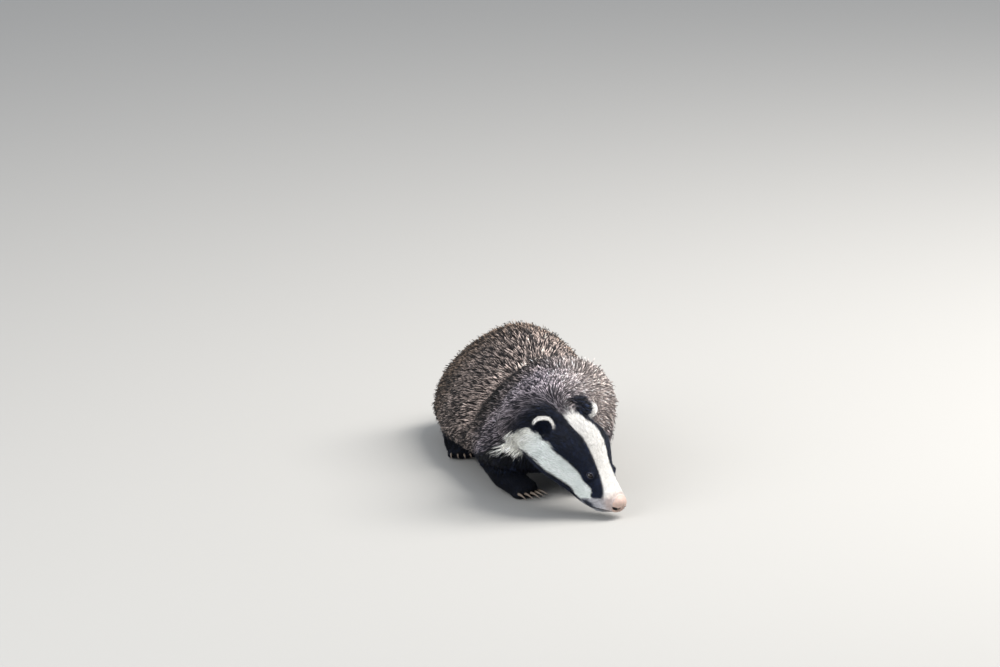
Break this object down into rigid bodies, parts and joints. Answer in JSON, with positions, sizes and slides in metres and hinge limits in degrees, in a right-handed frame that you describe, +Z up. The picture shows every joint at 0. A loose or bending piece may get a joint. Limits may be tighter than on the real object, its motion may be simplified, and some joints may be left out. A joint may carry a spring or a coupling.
{
  "type": "european badger model",
  "caption": "Still, life-size model of a young European badger nosing along the ground in a low crouch, its head lowered and turned to its left.",
  "frame": {"origin": "on the floor under the middle of the animal's box", "axes": "+Z up; the body lies along Y and faces -Y, its own left side is +X; the paws stand on Z = 0"},
  "size_m": [0.2098, 0.571, 0.1523],
  "materials": {
    "body_fur": "grizzled grey-brown guard hair",
    "neck_fur": "grizzled grey guard hair",
    "tail_fur": "pale, shaggy guard hair",
    "face_fur": "short white fur with black stripes",
    "chin_fur": "short pale fur",
    "dark_fur": "black fur",
    "nose_skin": "damp, finely grained skin",
    "eye": "polished, wet looking"
  },
  "bodies": {
    "root": {"torso": "body_fur", "neck": "neck_fur", "tail": "tail_fur", "head": "face_fur", "lower_jaw": "chin_fur", "nose_pad": "nose_skin", "eye_left": "eye", "eye_right": "eye", "ear_left": "dark_fur", "ear_right": "dark_fur", "foreleg_left": "dark_fur", "foreleg_right": "dark_fur", "hindleg_left": "dark_fur", "hindleg_right": "dark_fur"}
  },
  "joints": []
}
